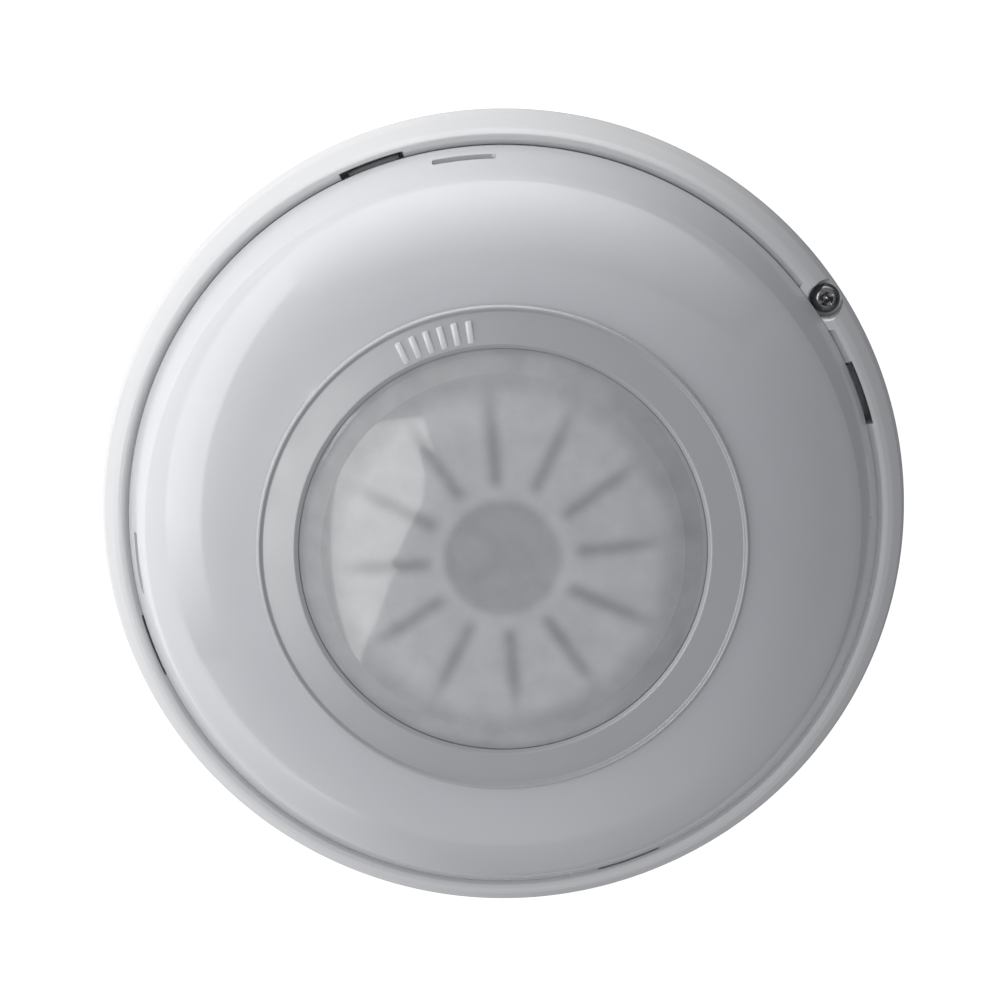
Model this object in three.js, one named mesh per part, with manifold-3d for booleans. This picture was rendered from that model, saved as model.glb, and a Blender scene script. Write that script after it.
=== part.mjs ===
// A ceiling-mounted motion sensor that looks all round: a base tray that screws to the ceiling,
// a domed cover that twists and lifts off, a Fresnel lens in a bezel at the middle of the cover,
// and the electronics on a round board.
// The back face lies on z = 0, the lens looks along +Z, and the origin is the centre of the back face.
// Lengths are in millimetres and angles in degrees, counted anticlockwise from +X as seen from the front.
import * as THREE from "three";
import { mergeVertices } from "three/addons/utils/BufferGeometryUtils.js";
import Module from "manifold-3d";

const wasm = await Module();
wasm.setup();

// ---- driving dimensions ----
const BASE_R = 60;
const RIM_TOP_Z = 8.7;
const RIM_INNER_R = 55.15;
const LEDGE_Z = 4.9;
const FLOOR_Z = 2.6;
const BACK_RECESS = 0.8;
const RECESS_R = 50;

const SKIRT_R = 54.75;
const SKIRT_INNER_R = 52.9;
const SKIRT_BOTTOM_Z = 3;
const SHOULDER = { r: 51.75, z: 17.4 };
const DOME = { r: 20.1, z: -9.35, radius: 41.6 };
const COVER_WALL = 2.1;
const COVER_HOLE_R = 32.3;

const BEZEL_R = 34.6;
const BEZEL_INNER_R = 28.65;
const LENS_FLANGE_Z = 29.95;
const LENS_TOP_Z = 36;
const LENS_WALL = 1.2;
const LENS_PETALS = 12;
const HUB_R = 8.1;
const CREASE_DEPTH = 0.5;

const LENS_PHASE = 5;
const LUG_COUNT = 4;
const LUG_ANGLE = 20;
const SLIT_ANGLE = 6;
const LOCKING_TURN = 14.5;
const LOCK_SCREW = { r: 57.3, angle: 34.7 };

const BOARD_R = 46;
const BOARD_HALF_WIDTH = 35;
const BOARD_Z = 7;
const BOARD_THICKNESS = 1.6;
const BOARD_TOP_Z = BOARD_Z + BOARD_THICKNESS;
const BOARD_SCREWS = { r: 41, angles: [90, 222, 318] };
const CABLE_NOTCH = { y: -44, radius: 9 };
const GROMMET_Y = -40;
const MOUNT_SLOT = { spacing: 83.3, width: 4.4, length: 10 };

const TAMPER = { r: 38, angle: 135 };
const TAMPER_RIB_Z = 17.75;
const TERMINALS = { count: 6, pitch: 3.81, y: -29, depth: 8, height: 9.6 };
const DIP_POLES = { count: 3, pitch: 2.54, x: -24, y: -12 };

const RING_SEGMENTS = 52;
const SMALL_SEGMENTS = 20;
const SECTOR_SEGMENTS = 4;
const FIT_GAP = 0.1;

// ---- materials ----
const finish = (color, roughness, metalness) =>
  new THREE.MeshStandardMaterial({ color, roughness, metalness });
const COVER_WHITE = finish(0xdedfe2, 0.35, 0);
const BASE_WHITE = finish(0xe6e6e4, 0.4, 0);
const LENS_MILK = finish(0xb9babd, 0.25, 0);
const INNER_WHITE = finish(0xd8d8d4, 0.5, 0);
const BOARD_GREEN = finish(0x1f5b37, 0.4, 0);
const STEEL = finish(0xb8bbbe, 0.25, 1);
const BRASS = finish(0xc9a75a, 0.35, 1);
const CHIP_BLACK = finish(0x1b1b1d, 0.55, 0);
const TERMINAL_GREEN = finish(0x2c7d4b, 0.45, 0);
const SWITCH_BLUE = finish(0x23508c, 0.45, 0);
const LED_RED = finish(0xb3202a, 0.2, 0);
const FILTER_DARK = finish(0x2a2430, 0.15, 0);
const RUBBER_GREY = finish(0x3a3a3c, 0.8, 0);

// ---- geometry helpers ----
const rad = THREE.MathUtils.degToRad;

/** The point at radius r and an angle in degrees, as [x, y]. */
const polar = (r, angle) => [r * Math.cos(rad(angle)), r * Math.sin(rad(angle))];

/** Points of an arc in the (r, z) half plane, from one angle to another, both ends included. */
function arc(centreR, centreZ, radius, from, to, steps) {
  return Array.from({ length: steps + 1 }, (_, i) => {
    const a = rad(from + ((to - from) * i) / steps);
    return [centreR + radius * Math.cos(a), centreZ + radius * Math.sin(a)];
  });
}

/** Turns an (r, z) outline about the Z axis. An outline that leaves the axis is closed on itself. */
function revolve(outline, segments = RING_SEGMENTS) {
  const points = outline.map(([r, z]) => new THREE.Vector2(r, z));
  const touchesAxis = outline[0][0] === 0;
  if (!touchesAxis) points.push(points[0].clone());
  if (THREE.ShapeUtils.area(points) < 0) points.reverse();
  return new THREE.LatheGeometry(points, segments).rotateX(Math.PI / 2);
}

const cylinder = (radius, z0, z1, segments = SMALL_SEGMENTS) =>
  revolve([[0, z0], [radius, z0], [radius, z1], [0, z1]], segments);

/** A box centred on (x, y), from z0 to z1. */
function box(width, depth, z0, z1, x = 0, y = 0) {
  return new THREE.BoxGeometry(width, depth, z1 - z0).translate(x, y, (z0 + z1) / 2);
}

/** A piece of a ring: from one radius to another, either side of an angle, from z0 to z1. */
function sector(innerR, outerR, angle, halfAngle, z0, z1) {
  const shape = new THREE.Shape();
  shape.absarc(0, 0, outerR, rad(angle - halfAngle), rad(angle + halfAngle), false);
  shape.absarc(0, 0, innerR, rad(angle + halfAngle), rad(angle - halfAngle), true);
  return extrude(shape, z0, z1, SECTOR_SEGMENTS);
}

function extrude(shape, z0, z1, curveSegments = SMALL_SEGMENTS) {
  const options = { depth: z1 - z0, bevelEnabled: false, curveSegments };
  return new THREE.ExtrudeGeometry(shape, options).translate(0, 0, z0);
}

/** A slot with round ends, centred on the origin, long side along Y. */
function slotShape(width, length) {
  const reach = (length - width) / 2;
  const shape = new THREE.Shape();
  shape.absarc(0, reach, width / 2, 0, Math.PI, false);
  shape.absarc(0, -reach, width / 2, Math.PI, 2 * Math.PI, false);
  return shape;
}

function toSolid(geometry) {
  const bare = new THREE.BufferGeometry();
  bare.setAttribute("position", geometry.getAttribute("position"));
  bare.setIndex(geometry.index);
  const merged = mergeVertices(bare, 1e-4);
  const vertProperties = new Float32Array(merged.getAttribute("position").array);
  const triVerts = new Uint32Array(merged.index.array);
  return new wasm.Manifold(new wasm.Mesh({ numProp: 3, vertProperties, triVerts }));
}

function toGeometry(solid) {
  const mesh = solid.getMesh();
  const geometry = new THREE.BufferGeometry();
  geometry.setAttribute("position", new THREE.BufferAttribute(mesh.vertProperties, 3));
  geometry.setIndex(new THREE.BufferAttribute(mesh.triVerts, 1));
  const flat = geometry.toNonIndexed();
  flat.computeVertexNormals();
  return flat;
}

const join = (first, ...others) =>
  toGeometry(others.reduce((sum, g) => sum.add(toSolid(g)), toSolid(first)));
const cut = (first, ...tools) =>
  toGeometry(tools.reduce((rest, g) => rest.subtract(toSolid(g)), toSolid(first)));
const common = (a, b) => toGeometry(toSolid(a).intersect(toSolid(b)));

/** The LUG_COUNT angles evenly spaced from a first one. */
const around = (first) => Array.from({ length: LUG_COUNT }, (_, i) => first + (i * 360) / LUG_COUNT);

// ---- base ----
/** The outside of the tray: a back edge chamfer, then a side that leans inwards to the rim. */
function baseOuterSide() {
  const lean = new THREE.QuadraticBezierCurve(
    new THREE.Vector2(BASE_R, 2),
    new THREE.Vector2(59.2, 5.4),
    new THREE.Vector2(57.2, RIM_TOP_Z - 0.5),
  );
  const side = lean.getPoints(4).map((p) => [p.x, p.y]);
  return [[58.9, 0], [BASE_R, 1.1], ...side, [56.7, RIM_TOP_Z]];
}

function baseTray() {
  const shell = revolve([
    [0, BACK_RECESS],
    [RECESS_R, BACK_RECESS],
    [RECESS_R + BACK_RECESS, 0],
    ...baseOuterSide(),
    [RIM_INNER_R, RIM_TOP_Z],
    [RIM_INNER_R, LEDGE_Z],
    [56.5, LEDGE_Z],
    [57.5, FLOOR_Z + 0.8],
    [56.9, FLOOR_Z],
    [0, FLOOR_Z],
  ]);
  const envelope = revolve([[0, 0], ...baseOuterSide(), [0, RIM_TOP_Z]]);

  const [screwX, screwY] = polar(LOCK_SCREW.r, LOCK_SCREW.angle);
  const pocketFloor = 4.2;
  const screwBoss = cylinder(4.4, 1.2, RIM_TOP_Z).translate(screwX, screwY, 0);
  const skirtRoom = cylinder(RIM_INNER_R, FLOOR_Z + 0.1, RIM_TOP_Z + 1, RING_SEGMENTS);
  const bossBesideSkirt = cut(common(screwBoss, envelope), skirtRoom);

  const posts = BOARD_SCREWS.angles.map((angle) => {
    const [x, y] = polar(BOARD_SCREWS.r, angle);
    return cylinder(3.4, FLOOR_Z - 0.5, BOARD_Z - FIT_GAP).translate(x, y, 0);
  });
  const pilots = BOARD_SCREWS.angles.map((angle) => {
    const [x, y] = polar(BOARD_SCREWS.r, angle);
    return cylinder(1.5, 1.6, BOARD_Z + 1, 12).translate(x, y, 0);
  });
  const slotPads = [-1, 1].map((side) =>
    extrude(slotShape(MOUNT_SLOT.width + 4, MOUNT_SLOT.length + 4), FLOOR_Z - 0.5, FLOOR_Z + 0.8, 6)
      .translate((side * MOUNT_SLOT.spacing) / 2, 0, 0),
  );
  const slots = [-1, 1].map((side) =>
    extrude(slotShape(MOUNT_SLOT.width, MOUNT_SLOT.length), -1, FLOOR_Z + 2, 6)
      .translate((side * MOUNT_SLOT.spacing) / 2, 0, 0),
  );
  const entryNotches = around(LUG_ANGLE).map((angle) =>
    sector(RIM_INNER_R - 1, 56.05, angle, 5, LEDGE_Z - 1, RIM_TOP_Z + 1),
  );
  return cut(
    join(shell, bossBesideSkirt, ...posts, ...slotPads),
    cylinder(2.75, pocketFloor, RIM_TOP_Z + 1).translate(screwX, screwY, 0),
    cylinder(1.35, 1.3, pocketFloor + 1, 12).translate(screwX, screwY, 0),
    cylinder(7, -1, FLOOR_Z + 1, 24).translate(0, GROMMET_Y, 0),
    ...pilots,
    ...slots,
    ...entryNotches,
  );
}

function cableGrommet() {
  const flangeR = 8.4;
  const neckR = 6.85;
  const wireR = 2.2;
  return revolve([
    [wireR, 1.4],
    [4.8, 1.2],
    [5.2, 0.15],
    [flangeR, 0.15],
    [flangeR, BACK_RECESS - FIT_GAP],
    [neckR, BACK_RECESS - FIT_GAP],
    [neckR, FLOOR_Z + FIT_GAP],
    [flangeR, FLOOR_Z + FIT_GAP],
    [flangeR - 0.5, FLOOR_Z + 1.1],
    [5.2, FLOOR_Z + 1.1],
    [4.8, 2.2],
    [wireR, 2.1],
  ], 24);
}

// ---- screws ----
/** A pan-head screw with a cross recess. Its head sits on z = 0 and its shank points down. */
function panHeadScrew({ headR, headHeight, shankR, length }) {
  const body = revolve([
    [0, -length],
    [shankR * 0.4, -length],
    [shankR, -length + shankR],
    [shankR, 0],
    [headR, 0],
    [headR, headHeight * 0.45],
    [headR * 0.8, headHeight * 0.85],
    [headR * 0.45, headHeight],
    [0, headHeight],
  ], SMALL_SEGMENTS);
  const blade = headR * 0.24;
  const span = headR * 1.15;
  const recess = [headHeight * 0.35, headHeight + 1];
  return cut(body, box(span, blade, ...recess), box(blade, span, ...recess));
}

const lockScrew = () => panHeadScrew({ headR: 2.15, headHeight: 1.8, shankR: 1, length: 3.5 });
const boardScrew = () => panHeadScrew({ headR: 2.3, headHeight: 1.6, shankR: 1.15, length: 6.2 });
const lockWasher = () => revolve([[1.4, 0], [2.1, 0], [2.1, 0.6], [1.4, 0.6]], SMALL_SEGMENTS);

// ---- cover and lens ----
function frontCover() {
  const outerDome = arc(DOME.r, DOME.z, DOME.radius, 41.5, 72.9, 8);
  const innerDome = arc(DOME.r, DOME.z, DOME.radius - COVER_WALL, 72, 41, 7);
  const shell = revolve([
    [SKIRT_R, SKIRT_BOTTOM_Z],
    [SKIRT_R, RIM_TOP_Z + 0.2],
    [SHOULDER.r, SHOULDER.z],
    ...outerDome,
    ...innerDome,
    [SKIRT_INNER_R, RIM_TOP_Z - 0.1],
    [SKIRT_INNER_R, SKIRT_BOTTOM_Z],
  ]);
  const lugs = around(LUG_ANGLE).map((angle) =>
    sector(SKIRT_R - 0.6, 55.8, angle, 4.1, SKIRT_BOTTOM_Z + 0.2, LEDGE_Z - 0.3),
  );
  const openings = [LUG_ANGLE, LUG_ANGLE + 90].map((angle) =>
    sector(SKIRT_INNER_R - 1, SKIRT_R + 1, angle, 3.7, LEDGE_Z, RIM_TOP_Z - 0.2),
  );
  const slits = around(SLIT_ANGLE).map((angle) =>
    sector(SKIRT_INNER_R - 3, SKIRT_R + 1, angle, 4.9, 11.6, 13.1),
  );
  const tamperRib = sector(
    TAMPER.r - 1,
    TAMPER.r + 1,
    TAMPER.angle + LOCKING_TURN / 2,
    LOCKING_TURN / 2 + 3,
    TAMPER_RIB_Z,
    27,
  );
  return cut(join(shell, ...lugs, tamperRib), ...openings, ...slits);
}

function lensBezel() {
  const topZ = 31.6;
  const neckR = 32;
  const neckBottomZ = 27.2;
  const ring = revolve([
    [BEZEL_R, 29.95],
    [BEZEL_R, 30.5],
    [BEZEL_R - 0.4, 31.1],
    [BEZEL_R - 1.2, topZ - 0.2],
    [31, topZ],
    [29, topZ - 0.1],
    [BEZEL_INNER_R, topZ - 0.4],
    [BEZEL_INNER_R, LENS_FLANGE_Z + 0.15],
    [31.2, LENS_FLANGE_Z + 0.15],
    [31.2, neckBottomZ],
    [neckR, neckBottomZ],
    [neckR, 30.7],
  ]);
  return join(ring, ...gripRibs(topZ));
}

/** A patch of short raised ribs across the bezel. */
function gripRibs(bezelTopZ) {
  const count = 6;
  const spacing = 3.6;
  const middle = 107.5;
  return Array.from({ length: count }, (_, i) => {
    const angle = middle + (i - (count - 1) / 2) * spacing;
    const rib = box(3.4, 0.9, bezelTopZ - 0.9, bezelTopZ + 0.15, 31.2, 0);
    return rib.rotateZ(rad(angle));
  });
}

/** How far the lens face lies below the top of the lens, between its hub and its steeper edge. */
function lensDrop(r) {
  const beyondHub = r - HUB_R;
  return 0.1 + 0.01 * beyondHub + 0.0095 * beyondHub ** 2;
}

/** How far the lens face sinks at a point, in the creases between its petals. */
function creaseSink(r, angle) {
  const start = 9.4;
  const end = 24;
  if (r <= start || r >= end) return 0;
  const along = Math.sin((Math.PI * (r - start)) / (end - start));
  const acrossPetal = Math.cos((rad(angle - LENS_PHASE) * LENS_PETALS) / 2);
  return CREASE_DEPTH * Math.sqrt(along) * Math.pow(Math.abs(acrossPetal), 8);
}

function fresnelLens() {
  const hubDrop = 0.35;
  const face = [HUB_R, 9.5, 12, 17, 21.5, 25.2].map((r) => [r, LENS_TOP_Z - lensDrop(r)]);
  const outline = [
    [0, LENS_TOP_Z - hubDrop + 0.05],
    [HUB_R - 0.3, LENS_TOP_Z - hubDrop],
    ...face,
    [26.8, LENS_TOP_Z - 3.9],
    [28.35, LENS_TOP_Z - 4.85],
    [28.35, LENS_FLANGE_Z],
    [31, LENS_FLANGE_Z],
    [31, LENS_FLANGE_Z - 0.6],
    [27.1, LENS_FLANGE_Z - 0.6],
    [27, LENS_TOP_Z - 5.5],
    [24.6, LENS_TOP_Z - lensDrop(24.6) - LENS_WALL],
    [17, LENS_TOP_Z - lensDrop(17) - LENS_WALL - CREASE_DEPTH / 2],
    [12, LENS_TOP_Z - lensDrop(12) - LENS_WALL - CREASE_DEPTH / 2],
    [0, LENS_TOP_Z - hubDrop - LENS_WALL],
  ];
  const segments = LENS_PETALS * 4;
  const lens = revolve(outline, segments).rotateZ(rad(LENS_PHASE));
  const position = lens.getAttribute("position");
  for (let i = 0; i < position.count; i++) {
    const r = Math.hypot(position.getX(i), position.getY(i));
    const angle = THREE.MathUtils.radToDeg(Math.atan2(position.getY(i), position.getX(i)));
    const z = position.getZ(i);
    const isOuterFace = Math.abs(z - (LENS_TOP_Z - lensDrop(r))) < 0.05;
    if (isOuterFace) position.setZ(i, z - creaseSink(r, angle));
  }
  return lens;
}

/** A ring behind the cover that clamps the lens's flange into the bezel. */
function lensRetainer() {
  const underFlangeZ = LENS_FLANGE_Z - 0.75;
  return revolve([
    [28.2, 25.6],
    [34.3, 25.6],
    [34.3, 26.9],
    [31, 26.9],
    [31, underFlangeZ],
    [28.2, underFlangeZ],
  ]);
}

// ---- circuit board and its parts ----
function circuitBoard() {
  const flatAngle = THREE.MathUtils.radToDeg(Math.acos(BOARD_HALF_WIDTH / BOARD_R));
  const shape = new THREE.Shape();
  shape.absarc(0, 0, BOARD_R, rad(flatAngle), rad(180 - flatAngle), false);
  shape.absarc(0, 0, BOARD_R, rad(180 + flatAngle), rad(360 - flatAngle), false);
  const holes = BOARD_SCREWS.angles.map((angle) => {
    const [x, y] = polar(BOARD_SCREWS.r, angle);
    return cylinder(1.5, BOARD_Z - 1, BOARD_TOP_Z + 1, 12).translate(x, y, 0);
  });
  const notch = cylinder(CABLE_NOTCH.radius, BOARD_Z - 1, BOARD_TOP_Z + 1, 24).translate(0, CABLE_NOTCH.y, 0);
  return cut(extrude(shape, BOARD_Z, BOARD_TOP_Z, 14), notch, ...holes);
}

const SEAT_Z = BOARD_TOP_Z + 0.05;
const SENSOR_Z = 12.1;
const SENSOR_TOP_Z = SENSOR_Z + 4.2;

function sensorSpacer() {
  const footR = 5.4;
  const neckR = 4.9;
  const topZ = SENSOR_Z - FIT_GAP;
  return revolve([
    [0, SEAT_Z],
    [footR, SEAT_Z],
    [footR, SEAT_Z + 0.9],
    [neckR, SEAT_Z + 1.3],
    [neckR, topZ],
    [0, topZ],
  ], 24);
}

function sensorCan() {
  const can = revolve([
    [0, SENSOR_Z],
    [4.6, SENSOR_Z],
    [4.6, SENSOR_Z + 0.5],
    [4.1, SENSOR_Z + 0.6],
    [4.1, SENSOR_TOP_Z - 0.4],
    [3.8, SENSOR_TOP_Z],
    [0, SENSOR_TOP_Z],
  ], 24);
  return cut(can, box(4.2, 3.2, SENSOR_TOP_Z - 0.6, SENSOR_TOP_Z + 1));
}

const sensorWindow = () => box(4, 3, SENSOR_TOP_Z - 0.55, SENSOR_TOP_Z - 0.1);

function statusLed() {
  const domeR = 1.5;
  const shoulderZ = SEAT_Z + 4;
  const flange = [[0, SEAT_Z], [1.9, SEAT_Z], [1.9, SEAT_Z + 1], [domeR, SEAT_Z + 1]];
  return revolve([...flange, ...arc(0, shoulderZ, domeR, 0, 75, 4), [0, shoulderZ + domeR]], 16);
}

function capacitor(radius, height) {
  const top = SEAT_Z + height;
  return revolve([
    [0, SEAT_Z],
    [radius, SEAT_Z],
    [radius, SEAT_Z + 1.1],
    [radius - 0.25, SEAT_Z + 1.4],
    [radius, SEAT_Z + 1.7],
    [radius, top - 0.4],
    [radius - 0.4, top],
    [0, top],
  ], 20);
}

function relay() {
  const lid = box(14.6, 9.6, SEAT_Z, SEAT_Z + 9.8);
  const skirt = box(15.2, 10.2, SEAT_Z, SEAT_Z + 8.9);
  return join(skirt, lid);
}

/** A small chip: a flat body with a row of bent legs along each long side. */
function chip(legsPerSide) {
  const pitch = 1.27;
  const length = legsPerSide * pitch + 0.2;
  const body = box(length, 3.9, SEAT_Z + 0.15, SEAT_Z + 1.55);
  const legs = [];
  for (let i = 0; i < legsPerSide; i++) {
    const x = (i - (legsPerSide - 1) / 2) * pitch;
    for (const side of [-1, 1]) {
      legs.push(box(0.42, 0.7, SEAT_Z + 0.5, SEAT_Z + 0.75, x, side * 2.2));
      legs.push(box(0.42, 0.25, SEAT_Z, SEAT_Z + 0.75, x, side * 2.45));
      legs.push(box(0.42, 0.7, SEAT_Z, SEAT_Z + 0.2, x, side * 2.75));
    }
  }
  return join(body, ...legs);
}

function voltageRegulator() {
  const tab = box(5.2, 1.6, SEAT_Z, SEAT_Z + 0.5, 0, 3.6);
  const legs = [-2.3, 2.3].map((x) => box(0.8, 2.4, SEAT_Z, SEAT_Z + 0.5, x, -4));
  return join(box(6.5, 6.1, SEAT_Z, SEAT_Z + 2.3), tab, ...legs);
}

function tamperSwitch() {
  const top = 15.2;
  const body = join(box(6.4, 6.4, SEAT_Z, top - 0.8), cylinder(2.6, top - 1, top));
  return cut(body, cylinder(1.75, 11.5, top + 1));
}

const tamperPlunger = () => {
  const top = TAMPER_RIB_Z - 0.15;
  return revolve([[0, 12], [1.5, 12], [1.5, top - 0.4], [1.1, top], [0, top]], 16);
};

// ---- terminal block ----
const TERMINAL_TOP_Z = SEAT_Z + TERMINALS.height;
const CHAMBER_TOP_Z = 15;
const terminalX = (i) => (i - (TERMINALS.count - 1) / 2) * TERMINALS.pitch;

/** The block has a wire chamber behind each window of its front face, and a screw well above each chamber. */
function terminalBlock() {
  const width = TERMINALS.count * TERMINALS.pitch + 1.2;
  const body = box(width, TERMINALS.depth, SEAT_Z, TERMINAL_TOP_Z);
  const tools = [];
  for (let i = 0; i < TERMINALS.count; i++) {
    const x = terminalX(i);
    tools.push(box(3, 6, 9.7, CHAMBER_TOP_Z, x, -1.6));
    tools.push(cylinder(1.65, CHAMBER_TOP_Z - 0.1, TERMINAL_TOP_Z + 1, 16).translate(x, -0.8, 0));
  }
  return cut(body, ...tools);
}

function terminalScrew() {
  const headR = 1.45;
  const shankR = 0.8;
  const headZ = CHAMBER_TOP_Z + FIT_GAP;
  const headTopZ = headZ + 2;
  const body = revolve([
    [0, 11.9],
    [shankR, 11.9],
    [shankR, headZ],
    [headR, headZ],
    [headR, headTopZ - 0.25],
    [headR - 0.25, headTopZ],
    [0, headTopZ],
  ], 16);
  return cut(body, box(headR * 3, 0.5, headTopZ - 0.8, headTopZ + 1));
}

/** A square cage that rises round the wire as its screw is tightened. */
function terminalClamp() {
  const z0 = 9.85;
  const z1 = 13.45;
  const wall = 0.5;
  const cage = box(2.7, 4.2, z0, z1);
  const wireRoom = box(2.7 - 2 * wall, 6, z0 + wall, z1 - wall);
  return cut(cage, wireRoom, cylinder(0.95, z1 - 1, z1 + 1, 12));
}

// ---- setting switches ----
const dipY = (i) => (i - (DIP_POLES.count - 1) / 2) * DIP_POLES.pitch;
const DIP_TOP_Z = SEAT_Z + 3.2;
const DIP_CHANNEL_FLOOR_Z = DIP_TOP_Z - 1;

function dipSwitch() {
  const body = box(6.2, DIP_POLES.count * DIP_POLES.pitch + 1.2, SEAT_Z, DIP_TOP_Z);
  const channels = Array.from({ length: DIP_POLES.count }, (_, i) =>
    box(3.6, 1.5, DIP_CHANNEL_FLOOR_Z, DIP_TOP_Z + 1, 0, dipY(i)),
  );
  return cut(body, ...channels);
}

const dipSlider = () => box(1.5, 1.2, DIP_CHANNEL_FLOOR_Z + 0.05, DIP_TOP_Z + 0.7, -0.95, 0);

// ---- assembly ----
const sensor = new THREE.Group();

/** Adds a named mesh at a place, turned about Z, and returns it. */
function place(name, geometry, material, { x = 0, y = 0, z = 0, turn = 0 } = {}) {
  const mesh = new THREE.Mesh(geometry, material);
  mesh.name = name;
  mesh.position.set(x, y, z);
  mesh.rotation.z = rad(turn);
  sensor.add(mesh);
  return mesh;
}

/** The place at a radius and an angle, in the form that place() takes. */
function atPolar(r, angle, z = 0) {
  const [x, y] = polar(r, angle);
  return { x, y, z, turn: angle };
}

place("base_tray", baseTray(), BASE_WHITE);
place("cable_grommet", cableGrommet(), RUBBER_GREY, { y: GROMMET_Y });
place("circuit_board", circuitBoard(), BOARD_GREEN);
BOARD_SCREWS.angles.forEach((angle, i) =>
  place(`board_screw_${i + 1}`, boardScrew(), STEEL, atPolar(BOARD_SCREWS.r, angle, BOARD_TOP_Z + FIT_GAP)),
);

place("lock_screw_washer", lockWasher(), STEEL, atPolar(LOCK_SCREW.r, LOCK_SCREW.angle, 4.3));
place("lock_screw", lockScrew(), STEEL, atPolar(LOCK_SCREW.r, LOCK_SCREW.angle, 5));

place("front_cover", frontCover(), COVER_WHITE);
place("lens_bezel", lensBezel(), COVER_WHITE);
place("fresnel_lens", fresnelLens(), LENS_MILK);
place("lens_retainer", lensRetainer(), INNER_WHITE);

place("sensor_spacer", sensorSpacer(), INNER_WHITE);
place("pyro_sensor_can", sensorCan(), STEEL);
place("pyro_sensor_window", sensorWindow(), FILTER_DARK);
place("status_led", statusLed(), LED_RED, { x: 13, y: 10 });
place("alarm_relay", relay(), CHIP_BLACK, { x: 23, y: 20 });
place("capacitor_1", capacitor(3.15, 11.4), CHIP_BLACK, { x: 25, y: -5 });
place("capacitor_2", capacitor(2.5, 9), CHIP_BLACK, { x: 26, y: -14 });
place("microcontroller", chip(8), CHIP_BLACK, { x: -14, y: 12, turn: 90 });
place("amplifier_chip", chip(7), CHIP_BLACK, { x: -2, y: 18 });
place("voltage_regulator", voltageRegulator(), CHIP_BLACK, { x: 12, y: -13 });
place("tamper_switch", tamperSwitch(), CHIP_BLACK, atPolar(TAMPER.r, TAMPER.angle));
place("tamper_plunger", tamperPlunger(), INNER_WHITE, atPolar(TAMPER.r, TAMPER.angle));

place("terminal_block", terminalBlock(), TERMINAL_GREEN, { y: TERMINALS.y });
for (let i = 0; i < TERMINALS.count; i++) {
  const spot = { x: terminalX(i), y: TERMINALS.y - 0.8 };
  place(`terminal_screw_${i + 1}`, terminalScrew(), STEEL, spot);
  place(`terminal_clamp_${i + 1}`, terminalClamp(), BRASS, spot);
}

place("dip_switch", dipSwitch(), SWITCH_BLUE, { x: DIP_POLES.x, y: DIP_POLES.y });
for (let i = 0; i < DIP_POLES.count; i++) {
  place(`dip_slider_${i + 1}`, dipSlider(), INNER_WHITE, { x: DIP_POLES.x, y: DIP_POLES.y + dipY(i) });
}

export default sensor;
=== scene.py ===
"""A round ceiling motion sensor: base tray, domed cover, bezel, Fresnel lens, and the board inside.

Outlines are in millimetres, in the part's own frame: the back face is z = 0, and the lens looks along +Z.
"""

import math

import bmesh
import bpy
from mathutils import Matrix, Vector
from mathutils.geometry import intersect_point_line


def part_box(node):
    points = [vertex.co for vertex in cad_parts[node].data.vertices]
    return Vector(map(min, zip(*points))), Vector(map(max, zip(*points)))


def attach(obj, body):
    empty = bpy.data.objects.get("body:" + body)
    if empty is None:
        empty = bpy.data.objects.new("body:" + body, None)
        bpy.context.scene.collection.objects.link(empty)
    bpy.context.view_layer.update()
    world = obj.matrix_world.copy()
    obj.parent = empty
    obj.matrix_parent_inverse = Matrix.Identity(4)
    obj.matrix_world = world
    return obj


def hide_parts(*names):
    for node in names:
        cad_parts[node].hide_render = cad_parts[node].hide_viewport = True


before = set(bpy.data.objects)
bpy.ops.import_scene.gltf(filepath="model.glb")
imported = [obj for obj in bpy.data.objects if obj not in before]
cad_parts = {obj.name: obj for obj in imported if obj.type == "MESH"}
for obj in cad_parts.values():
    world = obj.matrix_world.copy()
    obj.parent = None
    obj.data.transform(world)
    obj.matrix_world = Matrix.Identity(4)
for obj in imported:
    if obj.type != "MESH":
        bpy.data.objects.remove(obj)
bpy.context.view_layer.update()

MM = 0.001
TAU = 2 * math.pi


# ---- places taken from the frame, in millimetres ----
def box_mm(node):
    low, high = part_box(node)
    return low / MM, high / MM


def middle(node):
    """The centre of a node in plan, as (x, y)."""
    low, high = box_mm(node)
    return (low.x + high.x) / 2, (low.y + high.y) / 2


def floor_and_top(node):
    low, high = box_mm(node)
    return low.z, high.z


BASE_R = box_mm("base_tray")[1].x
RIM_TOP = floor_and_top("base_tray")[1]
SKIRT_FOOT = floor_and_top("front_cover")[0]
BEZEL_R = box_mm("lens_bezel")[1].x
LENS_TOP = floor_and_top("fresnel_lens")[1]
BOARD_FOOT, BOARD_TOP = floor_and_top("circuit_board")

# Radii, and angles round the Z axis in degrees.
RIM_INNER_R = 55.15
SKIRT_R = 55.09
SHOULDER = (51.75, 17.4)
DOME_CENTRE = (20.1, -9.35)
DOME_RADIUS = 41.6
LUG_ANGLE = 20
LUG_HALF_ANGLE = 4.1
LONG_LUG_R = 55.65
SHORT_LUG_R = 55.45
NOTCH_HALF_ANGLE = 5
WIDE_NOTCH_R = 56.1
NARROW_NOTCH_R = 55.53
OPENING_ANGLES = (LUG_ANGLE, LUG_ANGLE + 90)
SLIT_ANGLE = 6
SLIT_Z = (11.6, 13.1)
PETAL_ANGLE = 5
PETALS = 12
HUB_R = 8.1
FRESNEL_PITCH = 0.55
BOARD_SCREW_HOLE_R = 1.5
CAPACITOR_RADII = {"capacitor_1": 3.15, "capacitor_2": 2.5}
CHIP_LEG_PITCH = 1.27
TERMINAL_PITCH = 3.81
SWITCH_PITCH = 2.54

# How many straight pieces a large ring has.
FINE = 384


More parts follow.
